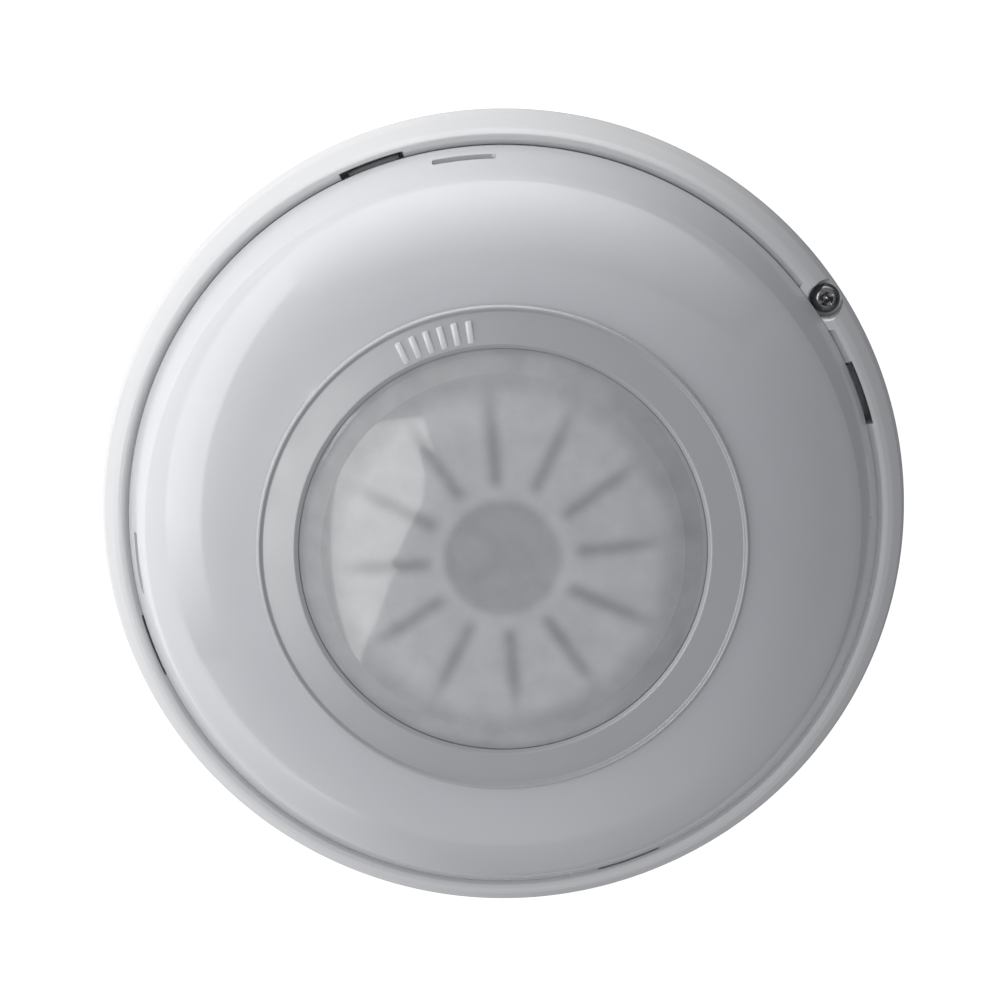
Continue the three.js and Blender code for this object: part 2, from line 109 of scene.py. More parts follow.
# ---- outlines ----
def arc(centre, radius, start, end, steps):
    """Points of an arc, angles in degrees, both ends included."""
    points = []
    for i in range(steps + 1):
        a = math.radians(start + (end - start) * i / steps)
        points.append((centre[0] + radius * math.cos(a), centre[1] + radius * math.sin(a)))
    return points


def rounded(corners, steps=5):
    """A closed outline with its corners rounded. A corner is (r, z) or (r, z, radius)."""
    outline = []
    count = len(corners)
    for i, corner in enumerate(corners):
        here = Vector(corner[:2])
        radius = corner[2] if len(corner) > 2 else 0
        to_last = Vector(corners[i - 1][:2]) - here
        to_next = Vector(corners[(i + 1) % count][:2]) - here
        half = to_last.angle(to_next, math.pi) / 2
        if radius == 0 or half > math.radians(88):
            outline.append((here.x, here.y))
            continue
        reach = min(radius / math.tan(half), 0.49 * to_last.length, 0.49 * to_next.length)
        first = here + to_last.normalized() * reach
        last = here + to_next.normalized() * reach
        for k in range(steps + 1):
            t = k / steps
            point = first * (1 - t) ** 2 + here * 2 * t * (1 - t) + last * t ** 2
            outline.append((point.x, point.y))
    return outline


def smoothstep(low, high, value):
    t = min(max((value - low) / (high - low), 0), 1)
    return t * t * (3 - 2 * t)


def angle_from(angle, reference, count):
    """How far an angle is from the nearest of count evenly spaced ones, the first at a reference."""
    pitch = 360 / count
    return (angle - reference + pitch / 2) % pitch - pitch / 2


def polar(r, degrees):
    return r * math.cos(math.radians(degrees)), r * math.sin(math.radians(degrees))


# ---- meshes ----
def revolve(outline, segments=256, warp=None, centre=(0, 0)):
    """Turns a closed (r, z) outline about an upright axis. warp(r, z, degrees) may move each point."""
    bm = bmesh.new()
    rings = []
    for r, z in outline:
        ring = []
        turns = 1 if r < 1e-6 else segments
        for j in range(turns):
            degrees = 360 * j / segments
            rr, zz = warp(r, z, degrees) if warp else (r, z)
            x, y = polar(rr, degrees)
            ring.append(bm.verts.new((centre[0] + x, centre[1] + y, zz)))
        rings.append(ring)
    for a, b in zip(rings, rings[1:] + rings[:1]):
        if len(a) == 1 and len(b) == 1:
            continue
        for j in range(segments):
            k = (j + 1) % segments
            corners = [a[j % len(a)], a[k % len(a)], b[k % len(b)], b[j % len(b)]]
            bm.faces.new(list(dict.fromkeys(corners)))
    bmesh.ops.recalc_face_normals(bm, faces=bm.faces)
    return bm


def rod(radius, z0, z1, centre=(0, 0), edge=0.0, segments=48):
    """An upright cylinder with rounded ends."""
    outline = rounded([(0, z0), (radius, z0, edge), (radius, z1, edge), (0, z1)])
    return revolve(outline, segments, centre=centre)


def round_edges(bm, radius, segments=2, sharper_than=30):
    limit = math.radians(sharper_than)
    edges = [e for e in bm.edges if len(e.link_faces) == 2 and e.calc_face_angle(0) > limit]
    if radius > 0:
        bmesh.ops.bevel(bm, geom=edges, offset=radius, segments=segments, affect="EDGES", profile=0.5)
    return bm


def prism(outline, z0, z1, edge=0.1):
    """An upright prism over an (x, y) outline, with rounded edges."""
    bm = bmesh.new()
    face = bm.faces.new([bm.verts.new((x, y, z0)) for x, y in outline])
    made = bmesh.ops.extrude_face_region(bm, geom=[face])["geom"]
    bmesh.ops.translate(bm, vec=(0, 0, z1 - z0), verts=[v for v in made if isinstance(v, bmesh.types.BMVert)])
    bmesh.ops.recalc_face_normals(bm, faces=bm.faces)
    return round_edges(bm, edge)


def block(width, painted_shade_and_cloud, z0, z1, centre=(0, 0), edge=0.15, turn=0):
    """An upright box with rounded edges, turned about its own centre by an angle in degrees."""
    w, d = width / 2, painted_shade_and_cloud / 2
    bm = prism([(-w, -d), (w, -d), (w, d), (-w, d)], z0, z1, edge)
    place = Matrix.Translation((*centre, 0)) @ Matrix.Rotation(math.radians(turn), 4, "Z")
    bmesh.ops.transform(bm, matrix=place, verts=bm.verts)
    return bm


def slot_outline(width, length, centre):
    """A slot with round ends, long side along Y."""
    reach = (length - width) / 2
    upper = arc((centre[0], centre[1] + reach), width / 2, 0, 180, 16)
    lower = arc((centre[0], centre[1] - reach), width / 2, 180, 360, 16)
    return upper + lower


def sector(inner_r, outer_r, angle, half_angle, z0, z1, edge=0.15):
    """A curved block: a piece of a ring either side of an angle, with rounded edges."""
    outline = [(inner_r, z0), (outer_r, z0), (outer_r, z1), (inner_r, z1)]
    steps = 14
    bm = bmesh.new()
    rows = []
    for i in range(steps + 1):
        degrees = angle - half_angle + 2 * half_angle * i / steps
        rows.append([bm.verts.new((*polar(r, degrees), z)) for r, z in outline])
    count = len(outline)
    for a, b in zip(rows, rows[1:]):
        for k in range(count):
            bm.faces.new((a[k], a[(k + 1) % count], b[(k + 1) % count], b[k]))
    bm.faces.new(rows[0])
    bm.faces.new(rows[-1])
    bmesh.ops.recalc_face_normals(bm, faces=bm.faces)
    return round_edges(bm, edge)


def gather(parts):
    """Puts several bmeshes into one."""
    whole = bmesh.new()
    for part in parts:
        mesh = bpy.data.meshes.new("part")
        part.to_mesh(mesh)
        part.free()
        whole.from_mesh(mesh)
        bpy.data.meshes.remove(mesh)
    return whole


def temporary(bm):
    mesh = bpy.data.meshes.new("temporary")
    bm.to_mesh(mesh)
    bm.free()
    obj = bpy.data.objects.new("temporary", mesh)
    bpy.context.scene.collection.objects.link(obj)
    return obj


def combine(operation, bm, *others):
    """Joins closed bmeshes (UNION), cuts the others away (DIFFERENCE) or keeps what is common (INTERSECT)."""
    first = temporary(bm)
    seconds = [temporary(other) for other in others]
    for second in seconds:
        modifier = first.modifiers.new("combine", "BOOLEAN")
        modifier.object = second
        modifier.operation = operation
        modifier.solver = "EXACT"
    evaluated = first.evaluated_get(bpy.context.evaluated_depsgraph_get())
    result = bmesh.new()
    result.from_mesh(evaluated.to_mesh())
    for obj in (first, *seconds):
        bpy.data.meshes.remove(obj.data)
    return result


def close_seams(bm, reach=1e-4):
    """Divides open edges at the open points that lie on them, so that the faces beside them share edges."""
    open_edges = [edge for edge in bm.edges if edge.is_boundary]
    points = [point for point in bm.verts if point.is_boundary]
    joined = list(points)
    for edge in open_edges:
        start, end = edge.verts
        for point in sorted(points, key=lambda v: (v.co - start.co).length):
            foot, share = intersect_point_line(point.co, start.co, end.co)
            margin = reach / edge.calc_length()
            if margin < share < 1 - margin and (foot - point.co).length < reach:
                start = bmesh.utils.edge_split(edge, start, share)[1]
                joined.append(start)
    bmesh.ops.remove_doubles(bm, verts=joined, dist=reach)
    return bm


def piece(name, bm, material, body="base", stands_for=(), smooth_angle=35):
    """Turns a bmesh in millimetres into a smooth shaded piece in metres that rides on a CAD body."""
    bmesh.ops.scale(bm, vec=(MM, MM, MM), verts=bm.verts)
    mesh = bpy.data.meshes.new(name)
    bm.to_mesh(mesh)
    bm.free()
    mesh.polygons.foreach_set("use_smooth", [True] * len(mesh.polygons))
    mesh.set_sharp_from_angle(angle=math.radians(smooth_angle))
    mesh.materials.append(material)
    obj = bpy.data.objects.new(name, mesh)
    bpy.context.scene.collection.objects.link(obj)
    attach(obj, body)
    if stands_for:
        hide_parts(*stands_for)
    return obj


# ---- materials ----
def node_material(name):
    material = bpy.data.materials.new(name)
    material.use_nodes = True
    tree = material.node_tree
    return material, tree, tree.nodes["Principled BSDF"]


def add_node(tree, kind, **settings):
    node = tree.nodes.new(kind)
    for key, value in settings.items():
        if key in node.inputs:
            node.inputs[key].default_value = value
        else:
            setattr(node, key, value)
    return node


def object_coords(tree):
    return add_node(tree, "ShaderNodeTexCoord").outputs["Object"]


def noise(tree, coords, scale, detail=3.0, roughness=0.5):
    node = add_node(tree, "ShaderNodeTexNoise", Scale=scale, Detail=detail, Roughness=roughness)
    tree.links.new(coords, node.inputs["Vector"])
    return node.outputs["Fac"]


def mixed(tree, factor, a, b):
    """Mixes two colours by a socket."""
    node = add_node(tree, "ShaderNodeMix", data_type="RGBA")
    tree.links.new(factor, node.inputs["Factor"])
    node.inputs["A"].default_value = (*a, 1)
    node.inputs["B"].default_value = (*b, 1)
    return node.outputs["Result"]


def ranged(tree, value, low, high, out_low, out_high):
    node = add_node(tree, "ShaderNodeMapRange", **{
        "From Min": low, "From Max": high, "To Min": out_low, "To Max": out_high,
    })
    tree.links.new(value, node.inputs["Value"])
    return node.outputs["Result"]


def add_bump(tree, shader, height, strength, distance):
    bump = add_node(tree, "ShaderNodeBump", Strength=strength, Distance=distance)
    tree.links.new(height, bump.inputs["Height"])
    tree.links.new(bump.outputs["Normal"], shader.inputs["Normal"])


def shade(colour, factor):
    return tuple(min(1, c * factor) for c in colour)


def plastic(name, colour, roughness=0.35, coat=0.0, grain=0.04, subsurface=0.0):
    """Moulded plastic: a fine moulded grain, uneven gloss, and a slow drift in its colour."""
    material, tree, shader = node_material(name)
    coords = object_coords(tree)
    drift = noise(tree, coords, 55, detail=2)
    hue = mixed(tree, drift, shade(colour, 0.965), shade(colour, 1.03))
    tree.links.new(hue, shader.inputs["Base Color"])
    gloss = ranged(tree, noise(tree, coords, 190, detail=2), 0.3, 0.7, roughness * 0.92, roughness * 1.1)
    tree.links.new(gloss, shader.inputs["Roughness"])
    add_bump(tree, shader, noise(tree, coords, 2600, detail=2), grain, 0.00005)
    shader.inputs["Coat Weight"].default_value = coat
    shader.inputs["Coat Roughness"].default_value = 0.07
    shader.inputs["Subsurface Weight"].default_value = subsurface
    shader.inputs["Subsurface Radius"].default_value = (1, 0.95, 0.9)
    shader.inputs["Subsurface Scale"].default_value = 0.001
    return material


def metal(name, colour, roughness=0.3, streaks=0.4):
    """Plated metal: brushed streaks and slightly dulled patches."""
    material, tree, shader = node_material(name)
    coords = object_coords(tree)
    dulled = noise(tree, coords, 900, detail=5)
    hue = mixed(tree, dulled, shade(colour, 0.82), shade(colour, 1.08))
    tree.links.new(hue, shader.inputs["Base Color"])
    gloss = ranged(tree, dulled, 0.3, 0.7, roughness * 0.7, roughness * 1.4)
    tree.links.new(gloss, shader.inputs["Roughness"])
    shader.inputs["Metallic"].default_value = 1
    shader.inputs["Anisotropic"].default_value = streaks
    add_bump(tree, shader, noise(tree, coords, 5200, detail=2), 0.12, 0.00004)
    return material


def clear_coloured(name, colour, roughness, passes):
    """Coloured see-through plastic or glass with a faint haze in it."""
    material, tree, shader = node_material(name)
    haze = noise(tree, object_coords(tree), 700, detail=3)
    hue = mixed(tree, haze, shade(colour, 0.8), shade(colour, 1.15))
    tree.links.new(hue, shader.inputs["Base Color"])
    gloss = ranged(tree, haze, 0.3, 0.7, roughness * 0.8, roughness * 1.3)
    tree.links.new(gloss, shader.inputs["Roughness"])
    shader.inputs["Transmission Weight"].default_value = passes
    shader.inputs["Coat Weight"].default_value = 1
    shader.inputs["Coat Roughness"].default_value = 0.05
    return material


def solder_mask(name, colour):
    """Green lacquer over glass fibre: the weave shows as a fine square relief, and the lacquer is glossy."""
    material, tree, shader = node_material(name)
    coords = object_coords(tree)
    weave = add_node(tree, "ShaderNodeTexBrick", Scale=900, **{"Mortar Size": 0.05, "Brick Width": 0.5})
    weave.inputs["Color1"].default_value = (*shade(colour, 1.0), 1)
    weave.inputs["Color2"].default_value = (*shade(colour, 1.12), 1)
    weave.inputs["Mortar"].default_value = (*shade(colour, 0.8), 1)
    tree.links.new(coords, weave.inputs["Vector"])
    tree.links.new(weave.outputs["Color"], shader.inputs["Base Color"])
    cloud = noise(tree, coords, 130, detail=3)
    tree.links.new(ranged(tree, cloud, 0.3, 0.7, 0.24, 0.36), shader.inputs["Roughness"])
    add_bump(tree, shader, noise(tree, coords, 1500, detail=2), 0.1, 0.00005)
    shader.inputs["Coat Weight"].default_value = 0.6
    return material


def radius_from_axis(tree, coords):
    split = add_node(tree, "ShaderNodeSeparateXYZ")
    tree.links.new(coords, split.inputs["Vector"])
    flat = add_node(tree, "ShaderNodeCombineXYZ")
    tree.links.new(split.outputs["X"], flat.inputs["X"])
    tree.links.new(split.outputs["Y"], flat.inputs["Y"])
    length = add_node(tree, "ShaderNodeVectorMath", operation="LENGTH")
    tree.links.new(flat.outputs["Vector"], length.inputs["Vector"])
    return length.outputs["Value"]


def milky_lens(name):
    """Milky polyethylene with painted shade: the colour is darker where the painted shade value is high. The
    rings inside show as a faint relief.
    """
    material, tree, shader = node_material(name)
    coords = object_coords(tree)
    turns = add_node(tree, "ShaderNodeMath", operation="MULTIPLY")
    turns.inputs[1].default_value = TAU / (FRESNEL_PITCH * MM)
    tree.links.new(radius_from_axis(tree, coords), turns.inputs[0])
    rings = add_node(tree, "ShaderNodeMath", operation="SINE")
    tree.links.new(turns.outputs["Value"], rings.inputs[0])
    # Painted shade read from the lens points, plus random cloud, darkens the colour.
    painted_shade = add_node(tree, "ShaderNodeAttribute", attribute_name="show_through")
    cloud = ranged(tree, noise(tree, coords, 230, detail=4), 0.25, 0.75, -0.07, 0.07)
    painted_shade_and_cloud = add_node(tree, "ShaderNodeMath", operation="ADD", use_clamp=True)
    tree.links.new(painted_shade.outputs["Fac"], painted_shade_and_cloud.inputs[0])
    tree.links.new(cloud, painted_shade_and_cloud.inputs[1])
    colour = mixed(tree, painted_shade_and_cloud.outputs["Value"], (0.86, 0.865, 0.88), (0.11, 0.112, 0.12))
    tree.links.new(colour, shader.inputs["Base Color"])
    shader.inputs["Roughness"].default_value = 0.75
    shader.inputs["Specular IOR Level"].default_value = 1
    shader.inputs["Coat Weight"].default_value = 0.6
    shader.inputs["Coat IOR"].default_value = 1.5
    shader.inputs["Coat Roughness"].default_value = 0.07
    shader.inputs["Subsurface Weight"].default_value = 0.5
    shader.inputs["Subsurface Radius"].default_value = (1, 1, 1)
    shader.inputs["Subsurface Scale"].default_value = 0.0012
    add_bump(tree, shader, rings.outputs["Value"], 0.05, 0.00005)
    return material


COVER_WHITE = plastic("cover_white", (0.61, 0.615, 0.64), 0.4, coat=0.8)
BASE_WHITE = plastic("base_white", (0.73, 0.73, 0.74), 0.36, coat=0.3)
BEZEL_SATIN = plastic("bezel_satin", (0.44, 0.445, 0.46), 0.38)
BEZEL_SATIN.node_tree.nodes["Principled BSDF"].inputs["Specular IOR Level"].default_value = 1
# Painted highlight: the raised ribs on the bezel are coloured far lighter than the bezel, standing in for the
# light they catch.
RIB_PAINTED_HIGHLIGHT = plastic("rib_painted_highlight", (0.88, 0.88, 0.89), 0.4, coat=0.5)
INNER_WHITE = plastic("inner_white", (0.70, 0.70, 0.67), 0.45)
LENS_MILK = milky_lens("lens_milk")
BOARD_GREEN = solder_mask("board_green", (0.012, 0.13, 0.045))
TRACK_GREEN = solder_mask("board_track_green", (0.03, 0.23, 0.08))
MARKING_WHITE = plastic("board_marking_white", (0.72, 0.73, 0.70), 0.6, grain=0.2)
ZINC = metal("zinc_steel", (0.62, 0.63, 0.64))
SCREW_STEEL = metal("screw_steel", (0.58, 0.59, 0.60), 0.17)
# The lock screw is drawn in a darker steel colour than the other screws.
DARK_STEEL = metal("dark_lock_screw_steel", (0.19, 0.19, 0.2), 0.2)
NICKEL = metal("nickel_can", (0.66, 0.65, 0.61), 0.22)
TIN = metal("tinned_copper", (0.66, 0.67, 0.68), 0.34, streaks=0)
BRASS = metal("plain_brass", (0.66, 0.46, 0.17), 0.3)
CHIP_BLACK = plastic("chip_black", (0.017, 0.017, 0.019), 0.5, grain=0.3)
CASE_BLACK = plastic("case_black", (0.022, 0.022, 0.024), 0.32, coat=0.2)
SLEEVE_BLUE = plastic("sleeve_dark_blue", (0.012, 0.016, 0.045), 0.25, coat=0.5)
CERAMIC_TAN = plastic("ceramic_tan", (0.36, 0.24, 0.13), 0.5, grain=0.2)
TERMINAL_GREEN = plastic("terminal_green", (0.02, 0.23, 0.075), 0.38, coat=0.2)
SWITCH_BLUE = plastic("switch_blue", (0.012, 0.075, 0.32), 0.38, coat=0.2)
RUBBER_GREY = plastic("rubber_grey", (0.045, 0.045, 0.05), 0.7, grain=0.5)
LED_RED = clear_coloured("led_red", (0.62, 0.015, 0.02), 0.14, 0.55)
FILTER_DARK = clear_coloured("filter_dark", (0.035, 0.02, 0.045), 0.08, 0.0)


# ---- base tray ----
LEDGE = 4.9
FLOOR = 2.6
SCREW_SPOT = middle("lock_screw")
GROMMET_SPOT = middle("cable_grommet")
BOARD_SCREWS = [f"board_screw_{i}" for i in (1, 2, 3)]
MOUNT_SPOTS = [(-41.65, 0), (41.65, 0)]


def base_side():
    """The outer side, from the back face up to the rim, with the radius of each corner."""
    return [
        (59.2, 0, 0.4), (BASE_R, 1.3, 0.9), (59.75, 3.2, 2), (59.1, 5.3, 2), (57.5, 7.9, 2),
        (56.6, RIM_TOP, 0.7),
    ]


def lug_angles():
    return [LUG_ANGLE + 90 * k for k in range(4)]


def base_tray():
    shell = revolve(rounded([
        (0, 0.8), (50, 0.8, 0.2), (50.8, 0, 0.2), *base_side(), (55.9, RIM_TOP, 0.4),
        (RIM_INNER_R, RIM_TOP - 0.8, 0.3), (RIM_INNER_R, LEDGE, 0.1), (56.5, LEDGE, 0.1),
        (57.5, FLOOR + 0.8, 0.5), (56.9, FLOOR, 0.5), (0, FLOOR),
    ], steps=6), segments=FINE)
    envelope = revolve(rounded([(0, 1), *base_side(), (0, RIM_TOP)], steps=6), segments=FINE)
    boss = combine("INTERSECT", rod(4.4, 1.2, RIM_TOP + 1, SCREW_SPOT), envelope)
    boss = combine("DIFFERENCE", boss, rod(RIM_INNER_R, FLOOR + 0.1, RIM_TOP + 1, segments=FINE))
    added = [boss]
    holes = [screw_pocket()]
    for screw in BOARD_SCREWS:
        added.append(revolve(rounded([
            (0, FLOOR - 0.5), (4.1, FLOOR - 0.5), (4.1, FLOOR + 0.5, 0.3), (3.4, FLOOR + 1.2, 0.8),
            (3.4, BOARD_FOOT - 0.1, 0.3), (0, BOARD_FOOT - 0.1),
        ]), 48, centre=middle(screw)))
        holes.append(rod(BOARD_SCREW_HOLE_R, 1.6, BOARD_FOOT + 1, middle(screw)))
    for spot in MOUNT_SPOTS:
        added.append(prism(slot_outline(8.4, 14, spot), FLOOR - 0.5, FLOOR + 0.8, 0.3))
        holes.append(prism(slot_outline(4.4, 10, spot), -1, FLOOR + 2, 0))
    holes.append(rod(7, -1, FLOOR + 1, GROMMET_SPOT))
    holes += [entry_notch(angle) for angle in lug_angles()]
    bm = combine("UNION", shell, gather(added))
    bm = close_seams(combine("DIFFERENCE", bm, gather(holes)))
    piece("base_tray_shell", bm, BASE_WHITE, "base", ["base_tray"])


def entry_notch(angle):
    """A cutter for the notch that lets a lug of the cover in, wider where the skirt has an opening."""
    outer_r = WIDE_NOTCH_R if angle in OPENING_ANGLES else NARROW_NOTCH_R
    return sector(RIM_INNER_R - 1, outer_r, angle, NOTCH_HALF_ANGLE, LEDGE - 0.6, RIM_TOP + 1, 0)


def screw_pocket():
    """A cutter for the lock screw's pocket, with a rounded mouth and the pilot hole below it."""
    radius, flare = 2.75, 0.3
    return revolve(rounded([
        (0, 1.3), (1.35, 1.3), (1.35, 4.2, 0.1), (radius, 4.2, 0.2), (radius, RIM_TOP - flare, flare),
        (radius + flare, RIM_TOP + 0.02), (radius + flare, RIM_TOP + 2), (0, RIM_TOP + 2),
    ]), 64, centre=SCREW_SPOT)


def cable_grommet():
    foot, top = floor_and_top("cable_grommet")
    flange, neck = 8.4, 6.85
    outline = [
        (2.2, 1.3, 0.15), (4.6, 1.2, 0.3), (5.3, foot, 0.4), (flange, foot, 0.2), (flange, 0.7, 0.2),
        (neck, 0.7, 0.1), (neck, FLOOR + 0.1, 0.1), (flange, FLOOR + 0.1, 0.2), (flange - 0.4, top, 0.3),
        (5.3, top, 0.3), (4.6, 2.2, 0.3), (2.2, 2.1, 0.15),
    ]
    bm = revolve(rounded(outline), 96, centre=GROMMET_SPOT)
    piece("cable_grommet_ring", bm, RUBBER_GREY, "base", ["cable_grommet"])


# ---- screws ----
def pan_head_screw(node, body, material, head_r, head_height, shank_r):
    """A pan-head screw with a cross recess whose walls lean inwards."""
    foot, top = floor_and_top(node)
    seat = top - head_height
    spot = middle(node)
    bm = revolve(rounded([
        (0, foot), (shank_r * 0.45, foot, 0.1), (shank_r, foot + shank_r, 0.2), (shank_r, seat),
        (head_r, seat, 0.15), (head_r, seat + head_height * 0.5, 0.6), (head_r * 0.72, top - 0.08, 1.2),
        (0, top),
    ], steps=7), 64, centre=spot)
    blades = [block(head_r * 1.2, head_r * 0.28, top - 0.8, top + 1, spot, 0.05, turn) for turn in (35, 125)]
    mouth_r = head_r * 0.5
    point = revolve([(0, seat - 0.9), (mouth_r, top), (mouth_r, top + 1), (0, top + 1)], 24, centre=spot)
    bm = combine("DIFFERENCE", bm, *blades, point)
    piece(f"{node}_pan_head", bm, material, body, [node])


def lock_screw():
    pan_head_screw("lock_screw", "lock_screw", DARK_STEEL, 2.15, 1.8, 1)
    foot, top = floor_and_top("lock_screw_washer")
    outline = rounded([(1.4, foot, 0.1), (2.1, foot, 0.15), (2.1, top, 0.15), (1.4, top, 0.1)])
    bm = revolve(outline, 48, centre=SCREW_SPOT)
    piece("lock_screw_washer_ring", bm, ZINC, "lock_screw_carrier", ["lock_screw_washer"])


# ---- cover, bezel and lens ----
def front_cover():
    """The domed shell, its lugs, the rib that presses the tamper plunger, and the openings in its side."""
    skirt_inner_r = SKIRT_R - 1.9
    dome = arc(DOME_CENTRE, DOME_RADIUS, 41.5, 72.9, 48)
    inside = arc(DOME_CENTRE, DOME_RADIUS - 2.1, 72, 41, 24)
    side = rounded([
        (skirt_inner_r, SKIRT_FOOT, 0.2), (SKIRT_R, SKIRT_FOOT, 0.4), (SKIRT_R, RIM_TOP + 0.3, 1.2),
        (*SHOULDER, 0.9), dome[1], dome[2],
    ], steps=9)
    shell = revolve(side[:-1] + dome[2:] + inside + [(skirt_inner_r, RIM_TOP - 0.1)], segments=FINE)
    lugs = []
    for angle in lug_angles():
        lug_r = LONG_LUG_R if angle in OPENING_ANGLES else SHORT_LUG_R
        lugs.append(sector(SKIRT_R - 1, lug_r, angle, LUG_HALF_ANGLE, SKIRT_FOOT + 0.2, LEDGE - 0.3, 0.2))
    tamper_r, tamper_angle, half_turn = 38, 135, 7.25
    rib = sector(tamper_r - 1, tamper_r + 1, tamper_angle + half_turn, half_turn + 3, 17.75, 27, 0.2)
    openings = [sector(50, 56, angle, 3.7, LEDGE, RIM_TOP - 0.2, 0.3) for angle in OPENING_ANGLES]
    openings += [sector(50, 56, SLIT_ANGLE + 90 * k, 4.9, *SLIT_Z, 0.3) for k in range(4)]
    bm = combine("UNION", shell, gather([rib, *lugs]))
    bm = combine("DIFFERENCE", bm, gather(openings))
    piece("front_cover_shell", bm, COVER_WHITE, "cover", ["front_cover"])


def lens_bezel():
    foot, top = floor_and_top("lens_bezel")
    neck = 32
    face = top - 0.15
    bm = revolve(rounded([
        (BEZEL_R, 29.95, 0.1), (BEZEL_R, 30.9, 0.3), (34.2, 31.3, 0.3), (33.7, 30.9, 0.3), (33.4, 30.95, 0.2),
        (29.2, face, 0.5), (28.65, face - 0.3), (28.65, 30.1), (31.2, 30.1), (31.2, foot), (neck, foot),
        (neck, 29.95),
    ], steps=7), segments=FINE)
    piece("lens_bezel_ring", bm, BEZEL_SATIN, "cover", ["lens_bezel"])
    rib_count, rib_pitch, ribs_angle = 6, 3.6, 107.5
    ribs = []
    for i in range(rib_count):
        angle = ribs_angle + (i - (rib_count - 1) / 2) * rib_pitch
        ribs.append(block(3.2, 0.9, top - 0.9, top, polar(31.2, angle), 0.22, angle))
    # The ribs carry the painted highlight colour.
    piece("lens_bezel_ribs", gather(ribs), RIB_PAINTED_HIGHLIGHT, "cover")


def crease_strength(r, degrees):
    """1 along the middle of a crease between two petals, and 0 on the petals, at hub and edge."""
    across = abs(angle_from(degrees, PETAL_ANGLE, PETALS)) * math.radians(1) * r
    along = smoothstep(9, 11.5, r) * (1 - smoothstep(17.5, 25, r))
    return along * math.exp(-(across / 1.05) ** 2)


def lens_drop(r, degrees):
    """How far the lens's outer face lies below its highest point."""
    beyond_hub = max(0, r - HUB_R)
    bow = 0.0095 * beyond_hub ** 2 + 0.01 * beyond_hub
    hub_sink = 0.08 * (1 - smoothstep(HUB_R - 0.8, HUB_R, r))
    return bow + hub_sink + 0.02 * crease_strength(r, degrees)


def show_through(r, degrees):
    """Painted shade: how much darker the lens colour is drawn. It is darkest at the hub and along the
    creases, where thin plastic shows the shaded inside and the creases hold shade, and it rises toward the
    rim of the face.
    """
    hub = 1 - smoothstep(7.2, 9, r)
    petal_ends = smoothstep(21, 25, r)
    return 0.36 + 0.24 * hub + 0.3 * crease_strength(r, degrees) + 0.2 * petal_ends


def fresnel_lens():
    face_end = 25.2
    flange = -6.0
    face = [(0.4 * i, 0.0) for i in range(63)]
    shoulder = rounded([
        (25.1, -lens_drop(25.1, 0)), (face_end + 0.2, -lens_drop(face_end + 0.2, 0), 0.3), (28, -4.55, 0.6),
        (28.61, -4.75, 0.1), (28.61, flange), (31, flange), (31, -6.55), (27.1, -6.55), (26.6, -5.4, 0.8),
        (24.2, -4.2),
    ], steps=5)[1:]
    inner_depth = -1.4
    inner = [(r, inner_depth) for r in (22, 18, 14, 10, 6, 3, 0)]

    def warp(r, z, degrees):
        if z == 0.0:
            return r, LENS_TOP - 0.05 - lens_drop(r, degrees)
        if z == inner_depth:
            return r, LENS_TOP - 1.25 - lens_drop(r, PETAL_ANGLE + 15)
        return r, LENS_TOP - 0.05 + z

    bm = revolve(face + shoulder + inner, segments=480, warp=warp)
    lens = piece("fresnel_lens_dome", bm, LENS_MILK, "cover", ["fresnel_lens"])
    # Each point stores its painted shade, which the lens material turns into a darker colour.
    painted_shade = lens.data.attributes.new("show_through", "FLOAT", "POINT")
    for value, vertex in zip(painted_shade.data, lens.data.vertices):
        x, y = vertex.co.x / MM, vertex.co.y / MM
        value.value = show_through(math.hypot(x, y), math.degrees(math.atan2(y, x)))


def lens_retainer():
    foot, top = floor_and_top("lens_retainer")
    step = 26.9
    bm = revolve(rounded([
        (28.2, foot, 0.2), (34.3, foot, 0.2), (34.3, step, 0.2), (31, step, 0.3), (31, top, 0.2),
        (28.2, top, 0.2),
    ]))
    holes = [rod(1.1, foot - 1, 28, polar(32.6, 45 + 90 * k)) for k in range(4)]
    bm = combine("DIFFERENCE", bm, gather(holes))
    piece("lens_retainer_ring", bm, INNER_WHITE, "cover_carrier", ["lens_retainer"])


# ---- circuit board ----
SEAT = BOARD_TOP + 0.05


def circuit_board():
    corner = box_mm("circuit_board")[1]
    board_r, half_width = corner.y, corner.x
    flat = math.degrees(math.acos(half_width / board_r))
    outline = arc((0, 0), board_r, flat, 180 - flat, 64) + arc((0, 0), board_r, 180 + flat, 360 - flat, 64)
    bm = prism(outline, BOARD_FOOT, BOARD_TOP, 0.12)
    holes = [rod(BOARD_SCREW_HOLE_R, BOARD_FOOT - 1, BOARD_TOP + 1, middle(screw)) for screw in BOARD_SCREWS]
    notch_r, notch_spot = 9, (0, -44)
    notch = rod(notch_r, BOARD_FOOT - 1, BOARD_TOP + 1, notch_spot, segments=96)
    bm = combine("DIFFERENCE", bm, gather([notch, *holes]))
    piece("circuit_board_sheet", bm, BOARD_GREEN, "base", ["circuit_board"])
    lands = [ring(1.6, 3.2, middle(screw)) for screw in BOARD_SCREWS]
    piece("board_screw_lands", gather(lands), TIN)


def ring(inner_r, outer_r, spot, height=0.04):
    """A thin flat ring on the board."""
    z0, z1 = BOARD_TOP - 0.02, BOARD_TOP + height
    return revolve([(inner_r, z0), (outer_r, z0), (outer_r, z1), (inner_r, z1)], 48, centre=spot)


